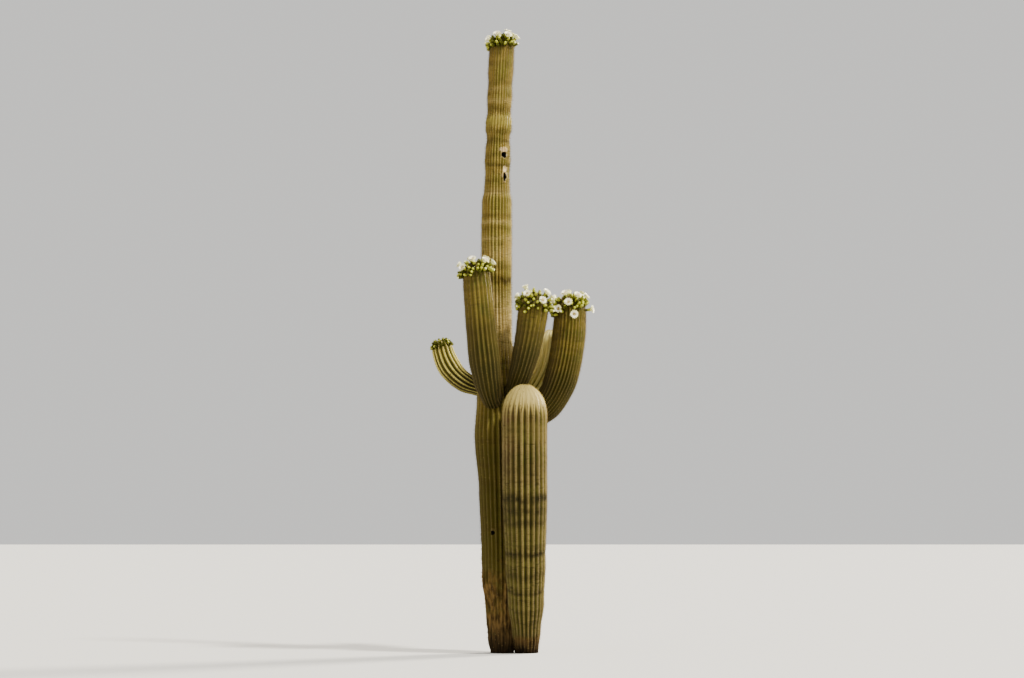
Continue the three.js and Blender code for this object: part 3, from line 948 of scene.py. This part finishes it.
def bloom_places(limb):
    """Flowers and then buds, each a golden turn from the last and lower on the tip, and the strays."""
    crown = limb.crown
    for k in range(crown.blooms):
        outward = tip_side(limb, crown.turn + k * GOLDEN_TURN)
        tilt = HIGHEST_BLOOM + (crown.lowest - HIGHEST_BLOOM) * math.sqrt((k + 0.5) / crown.blooms)
        yield k < crown.flowers, *place_bloom(limb, outward, tilt * (1 + crown.lean * outward[0]))
    ahead = limb.shoulder_frame()[1]
    for kind, x, y, tilt in limb.strays:
        outward = np.array([x, y, 0.0])
        outward = unit(outward - ahead * np.dot(outward, ahead))
        yield kind == "flower", *place_bloom(limb, outward, tilt)


def filler_places(limb, rng):
    """More buds between the first blooms, so that they crowd the tip."""
    crown = limb.crown
    more = round(crown.blooms * FILLERS)
    for k in range(more):
        aside = rng.uniform(-FILLER_JITTER, FILLER_JITTER)
        outward = tip_side(limb, crown.turn + FILLER_TURN + k * GOLDEN_TURN + aside)
        tilt = (6 + (crown.lowest - 4) * math.sqrt((k + 0.5) / more)) * (1 + crown.lean * outward[0])
        yield False, *place_bloom(limb, outward, tilt)


def lathe(outline, sides, wave=0.0):
    """Points and faces of a turned shape, given radii at heights."""
    angle = np.arange(sides) * 2 * np.pi / sides
    rings = []
    for row, (radius, height) in enumerate(outline):
        r = radius * (1 + wave * np.cos(angle * 5 + row))
        rings.append(np.stack([r * np.cos(angle), r * np.sin(angle), np.full(sides, height)], axis=1))
    return np.concatenate(rings), grid_faces(len(outline), sides)


def petal(length, width, lean_from, lean_to):
    """One spoon-shaped petal that leans further out along its length, rooted at the origin."""
    rows, cup = 5, 0.18
    share = np.linspace(0, 1, rows)
    lean = lean_from + (lean_to - lean_from) * share
    step = length / (rows - 1)
    out, up = totals(np.sin(lean[:-1]) * step), totals(np.cos(lean[:-1]) * step)
    half = width * (0.34 + 0.66 * np.sin(np.pi * np.clip(share * 0.86 + 0.02, 0, 1)) ** 0.8) / 2
    half[-1] *= 0.55
    points = []
    for o, u, h, tilt in zip(out, up, half, lean):
        for across, lift in ((-1, cup), (0, 0), (1, cup)):
            rise = lift * h
            points.append((o - rise * math.cos(tilt), across * h, u + rise * math.sin(tilt)))
    return np.array(points), grid_faces(rows, 3, around=False)


def turned(points, angle):
    """Points turned about +Z."""
    c, s = math.cos(angle), math.sin(angle)
    return points @ np.array([[c, s, 0], [-s, c, 0], [0, 0, 1]])


PETAL, PETAL_BACK, STAMEN, TUBE, SCALE, SHADED = range(6)

# A flower's size: its tube's radii at heights, the radii of the tube's floor, and its rows of petals, each
# with their number, radius, height, length, width, lean at root and tip, and paint
FLOWER_TUBE = [(0.012, -0.02), (0.0125, 0.004), (0.0135, 0.026), (0.0155, 0.048), (0.0205, 0.068)]
FLOWER_FLOOR = [(0.0195, 0.066), (0.0008, 0.058)]
PETAL_ROWS = (
    (13, 0.02, 0.061, 0.038, 0.015, 0.3, 1.85, PETAL_BACK),
    (12, 0.0185, 0.065, 0.037, 0.0165, 0.2, 1.35, PETAL),
    (10, 0.0165, 0.068, 0.032, 0.015, 0.1, 0.95, PETAL),
)
STAMENS = 46
STAMEN_ROOT, STAMEN_WIDTH = 0.058, 0.0016


def add_scales(parts, radius_at, rows, length, width, rng):
    """Small pointed scales in rows up a tube, each leaning out of it, dark where others crowd it."""
    around = 7
    for row, height in enumerate(rows):
        paint = SHADED if row < 0.5 * len(rows) else SCALE
        for k in range(around):
            angle = (k + row * 0.5 + rng.uniform(-0.1, 0.1)) * 2 * np.pi / around
            r = radius_at(height)
            tip = r + length * 0.42
            points = np.array([(r - 0.001, -width, height), (r - 0.001, width, height),
                               (tip, 0, height + length), (r + 0.0035, 0, height + length * 0.35)])
            parts.append((turned(points, angle), np.array([[0, 3, 2], [3, 1, 2], [0, 1, 3]]), paint))


def flower_parts(rng, openness):
    """A funnel flower: a scaly tube, three rows of petals and a brush of stamens."""
    parts = [(*lathe(FLOWER_TUBE, 10, 0.06), np.repeat([SHADED, SHADED, TUBE, TUBE], 10))]
    scale_rows = (0.004, 0.018, 0.032, 0.046)
    add_scales(parts, lambda h: 0.013 + 0.07 * max(0.0, h - 0.02), scale_rows, 0.018, 0.0054, rng)
    parts.append((*lathe(FLOWER_FLOOR, 10), STAMEN))
    for count, radius, base, length, width, low, high, paint in PETAL_ROWS:
        for k in range(count):
            spread = openness * rng.uniform(0.9, 1.08)
            points, faces = petal(length * rng.uniform(0.92, 1.06), width, low * openness, high * spread)
            points = points + (radius, 0, base)
            parts.append((turned(points, (k + rng.uniform(-0.15, 0.15)) * 2 * np.pi / count), faces, paint))
    for _ in range(STAMENS):
        angle, share = rng.uniform(0, 2 * np.pi), math.sqrt(rng.random())
        inner, outer = 0.012 * share, 0.019 * share * (0.5 + 0.5 * openness)
        top = 0.088 - 0.012 * share + rng.uniform(-0.002, 0.002)
        w = STAMEN_WIDTH
        points = np.array([(inner, -w * 0.3, STAMEN_ROOT), (inner, w * 0.3, STAMEN_ROOT),
                           (outer - w, -w, top), (outer + w, 0, top + w), (outer - w, w, top)])
        faces = np.array([[0, 2, 3], [0, 3, 1], [1, 3, 4]])
        parts.append((turned(points, angle), faces, STAMEN))
        parts.append((turned(points[2:], angle), np.array([[0, 2, 1]]), STAMEN))
    return parts


def bud_parts(rng, size, dull):
    """A scaly bud, green with a cream tip where it is about to open, or dark all over where it is dull."""
    fat = 0.0155 * (0.75 + 0.25 * size)
    tall = 0.06 * size
    neck = (fat * 0.72, tall * 0.8)
    skin = SHADED if dull else TUBE
    outline = [(0.011, -0.018), (0.0125, 0.002), (fat * 0.92, tall * 0.3), (fat, tall * 0.55), neck]
    parts = [(*lathe(outline, 9, 0.05), np.repeat([SHADED, SHADED, skin, skin], 9))]
    cap = [neck, (fat * 0.38, tall * 0.94), (0.0008, tall)]
    parts.append((*lathe(cap, 9, 0.05), PETAL_BACK if size > ABOUT_TO_OPEN else skin))
    heights, radii = [0, tall * 0.3, tall * 0.55, tall], [0.0122, fat * 0.9, fat, fat * 0.3]
    rows = np.arange(0.004, tall * 0.78, 0.0095)
    add_scales(parts, lambda h: np.interp(h, heights, radii), rows, 0.013, 0.0048, rng)
    return parts


def stand(heap, parts, root, direction, size, spin):
    """Sets a bloom's parts at a root, pointing along a direction."""
    direction = unit(direction)
    side = unit(np.cross(direction, UP if abs(direction[2]) < 0.9 else np.array([1.0, 0, 0])))
    basis = np.stack([side, np.cross(direction, side), direction])
    for points, faces, paint in parts:
        heap.add(turned(points * size, spin) @ basis + root, faces, paint)


def colour_prop(name, about, default):
    """A colour for the panel."""
    return bpy.props.FloatVectorProperty(name=name, description=about, default=default, subtype="COLOR")


def length_prop(name, about, default, least):
    """A length for the panel, and the least it may be."""
    return bpy.props.FloatProperty(name=name, description=about, default=default, min=least, unit="LENGTH")


class SaguaroSkin(bpy.types.PropertyGroup):
    """Sizes and colours of the ribbed skin."""

    rib_depth: bpy.props.FloatProperty(
        name="Rib depth", description="Depth of the valleys between ribs, over the limb's radius",
        default=0.16, min=0.05, max=0.3, subtype="FACTOR")
    trunk_flank: colour_prop("Trunk flank", "The trunk's olive-gold skin", (0.24, 0.174, 0.032))
    arm_flank: colour_prop("Arm flank", "The arms' darker olive skin", (0.118, 0.089, 0.01))
    stem_flank: colour_prop("Stem flank", "The front stem's brown olive skin", (0.082, 0.058, 0.01))
    left_arm_flank: colour_prop("Left arm flank", "The small left arm's skin", (0.185, 0.15, 0.018))
    # The rear arm's pale young skin, made paler in part as painted light where the arms in front shade it
    rear_arm_flank: colour_prop("Rear arm flank", "The pale rear arm's skin", (0.485, 0.428, 0.118))


class SaguaroSpines(bpy.types.PropertyGroup):
    """Sizes and colours of the spines."""

    spacing: length_prop("Spacing", "From one cluster of spines to the next down a rib", 0.026, 0.01)
    reach: length_prop("Reach", "Length of the longest spines", 0.031, 0.005)
    width: length_prop("Width", "Radius of a spine at its root", 0.0011, 0.0002)
    pale: colour_prop("Pale spine", "Young cream spines", (0.37, 0.29, 0.09))
    straw: colour_prop("Straw spine", "Straw spines", (0.179, 0.123, 0.031))
    old: colour_prop("Old spine", "Weathered grey-brown spines", (0.064, 0.04, 0.011))


class SaguaroBlossom(bpy.types.PropertyGroup):
    """Sizes and colours of the flowers and buds."""

    size: bpy.props.FloatProperty(
        name="Size", description="Scale of the flowers, where 1 makes them about 80 mm across",
        default=1.0, min=0.5, max=1.5)
    petal: colour_prop("Petal", "Waxy white petals", (0.95, 0.92, 0.74))
    stamen: colour_prop("Stamen", "Cream stamens", (0.85, 0.7, 0.28))
    tube: colour_prop("Tube", "Green of the tubes and buds", (0.43, 0.44, 0.05))


def finish_piece(piece, slot, *nodes):
    """Rides a piece on the plant's one body and hides the model's nodes that it stands for."""
    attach(piece, "root")
    if nodes:
        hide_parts(*nodes)


class SAGUARO_OT_trunk(bpy.types.Operator):
    """Make the trunk's ribbed skin, with bark at its foot and the nest holes pecked into it"""

    bl_idname = "saguaro.trunk"
    bl_label = "Trunk"

    def execute(self, context):
        finish_piece(limb_skin(TRUNK, 0.0, "trunk"), "trunk_skin", "trunk")
        return {"FINISHED"}


class SAGUARO_OT_front_stem(bpy.types.Operator):
    """Make the skin of the shorter domed stem in front"""

    bl_idname = "saguaro.front_stem"
    bl_label = "Front stem"

    def execute(self, context):
        limb = LIMBS["front_stem"]
        finish_piece(limb_skin(limb, limb.at_height(-0.02), "stem"), "stem_skin", "front_stem")
        return {"FINISHED"}


class SAGUARO_OT_arms(bpy.types.Operator):
    """Make the skins of the five arms, each from its neck on the trunk to its tip"""

    bl_idname = "saguaro.arms"
    bl_label = "Arms"

    def execute(self, context):
        for limb in ARMS:
            along = np.linspace(0, limb.length * 0.5, 200)
            inside = depth_inside(limb.centre(along), TRUNK) > -NECK_GAP
            look = limb.name if limb.name in SKIN_TONES else "arm"
            skin = limb_skin(limb, along[inside].max() - NECK_DEPTH, look)
            slot = "arm_skin" if limb.crown else "stem_skin"
            finish_piece(skin, slot, limb.name + "_elbow", limb.name + "_upright")
        return {"FINISHED"}


class SAGUARO_OT_spines(bpy.types.Operator):
    """Grow clusters of spines on pads of felt down the crests of every rib"""

    bl_idname = "saguaro.spines"
    bl_label = "Spines"

    def execute(self, context):
        sizes = context.scene.saguaro_spines
        paints = plain_materials(
            ("Pale spines", sizes.pale, 0.5, 0.15),
            ("Straw spines", sizes.straw, 0.55, 0.15),
            ("Old spines", sizes.old, 0.65, 0.15))
        felts = plain_materials(
            ("Areole felt", (0.11, 0.078, 0.028), 0.95, 0), ("Young felt", (0.46, 0.38, 0.14), 0.95, 0))
        pads = Heap()
        rng = np.random.default_rng(11)
        for group, armour in ARMOUR.items():
            heap = Heap()
            for name in armour.limbs:
                add_pads(pads, *add_spines(heap, LIMBS[name], armour, rng), rng)
            finish_piece(heap.build(group, paints, smooth_faces=False), "spine")
        finish_piece(pads.build("areole_pads", felts), "spine")
        return {"FINISHED"}


class SAGUARO_OT_blossom(bpy.types.Operator):
    """Set the open flowers and the buds on the crowns of the trunk and arms"""

    bl_idname = "saguaro.blossom"
    bl_label = "Flowers and buds"

    def execute(self, context):
        look = context.scene.saguaro_blossom
        paints = plain_materials(
            ("Petal face", look.petal, 0.42, 0.5),
            ("Petal back", (0.8, 0.79, 0.4), 0.5, 0.5),
            ("Stamens", look.stamen, 0.6, 0.5),
            ("Flower tube", look.tube, 0.5, 0.3),
            ("Bud scales", (0.13, 0.14, 0.012), 0.55, 0.2),
            ("Shaded tube", (0.055, 0.055, 0.004), 0.6, 0.1))
        rng = np.random.default_rng(23)
        flowers, buds = Heap(), Heap()
        for limb in LIMBS.values():
            if not limb.crown:
                continue
            bud_sizes = BUD_SIZES if limb.crown.flowers else YOUNG_BUD_SIZES
            for is_flower, root, direction in [*bloom_places(limb), *filler_places(limb, rng)]:
                root = root - unit(direction) * SKIN_INSET
                spin = rng.uniform(0, 2 * np.pi)
                if is_flower:
                    openness = rng.choice(list(OPENNESS), p=list(OPENNESS.values()))
                    size = look.size * rng.uniform(0.94, 1.06)
                    stand(flowers, flower_parts(rng, openness), root, direction, size, spin)
                else:
                    bud = bud_parts(rng, rng.uniform(*bud_sizes), rng.random() < limb.dull_buds)
                    stand(buds, bud, root, direction, 1.0, spin)
        finish_piece(flowers.build("open_flowers", paints), "blossom")
        finish_piece(buds.build("flower_buds", paints), "blossom")
        return {"FINISHED"}


def aimed(name, data, direction, front):
    """Adds a light or camera whose front axis points along a direction."""
    thing = bpy.data.objects.new(name, data)
    thing.rotation_mode = "QUATERNION"
    thing.rotation_quaternion = Vector(direction).to_track_quat(front, "Y")
    bpy.context.scene.collection.objects.link(thing)
    return thing


class SAGUARO_OT_stage(bpy.types.Operator):
    """Lay a plain pale floor, set soft lights and place the camera at the photograph's angle"""

    bl_idname = "saguaro.stage"
    bl_label = "Stage"

    def execute(self, context):
        scene = context.scene
        half = FLOOR_SIZE / 2
        heap = Heap()
        heap.add([(-half, -half, 0), (half, -half, 0), (half, half, 0), (-half, half, 0)], [[0, 1, 2, 3]])
        pale = plain_materials(("Pale floor", (0.44, 0.43, 0.41), 0.9, 0.5))
        heap.build("floor", pale, smooth_faces=False)
        scene.world = bpy.data.worlds.new("Pale room")
        scene.world.use_nodes = True
        room = scene.world.node_tree.nodes["Background"].inputs
        room["Color"].default_value, room["Strength"].default_value = ROOM_COLOUR, ROOM_STRENGTH
        for name, (direction, strength, softness, tint) in SUNS.items():
            lamp = bpy.data.lights.new(name, "SUN")
            lamp.energy, lamp.angle, lamp.color = strength, math.radians(softness), tint
            aimed(name, lamp, direction, "Z")
        low, high = CAD_BOX
        target = (low + high) / 2
        target.y = 0
        place = Vector((target.x, -CAMERA_DISTANCE, EYE_HEIGHT))
        lens = bpy.data.cameras.new("Camera")
        lens.sensor_width, lens.clip_end = SENSOR_WIDTH, VIEW_END
        lens.lens = SENSOR_WIDTH * CAMERA_DISTANCE / (FRAME_TALL * PHOTO_WIDTH / PHOTO_HEIGHT)
        scene.camera = aimed("Camera", lens, target - place, "-Z")
        scene.camera.location = place
        return {"FINISHED"}


GROUPS = {"saguaro_skin": SaguaroSkin, "saguaro_spines": SaguaroSpines, "saguaro_blossom": SaguaroBlossom}
OPERATORS = (
    SAGUARO_OT_trunk,
    SAGUARO_OT_front_stem,
    SAGUARO_OT_arms,
    SAGUARO_OT_spines,
    SAGUARO_OT_blossom,
    SAGUARO_OT_stage,
)


class SAGUARO_PT_panel(bpy.types.Panel):
    """The plant's pieces and its main sizes and colours"""

    bl_idname = "SAGUARO_PT_panel"
    bl_label = "Saguaro"
    bl_space_type = "VIEW_3D"
    bl_region_type = "UI"
    bl_category = "Saguaro"

    def draw(self, context):
        for operator in OPERATORS:
            self.layout.operator(operator.bl_idname)
        for name, group in GROUPS.items():
            box = self.layout.box()
            for field in group.__annotations__:
                box.prop(getattr(context.scene, name), field)


def register():
    for name, group in GROUPS.items():
        bpy.utils.register_class(group)
        setattr(bpy.types.Scene, name, bpy.props.PointerProperty(type=group))
    for shown in (*OPERATORS, SAGUARO_PT_panel):
        bpy.utils.register_class(shown)


def unregister():
    for shown in (SAGUARO_PT_panel, *reversed(OPERATORS)):
        bpy.utils.unregister_class(shown)
    for name, group in reversed(GROUPS.items()):
        delattr(bpy.types.Scene, name)
        bpy.utils.unregister_class(group)


def main():
    register()
    bpy.ops.saguaro.trunk()
    bpy.ops.saguaro.front_stem()
    bpy.ops.saguaro.arms()
    bpy.ops.saguaro.spines()
    bpy.ops.saguaro.blossom()
    bpy.ops.saguaro.stage()


if __name__ == "__main__":
    main()
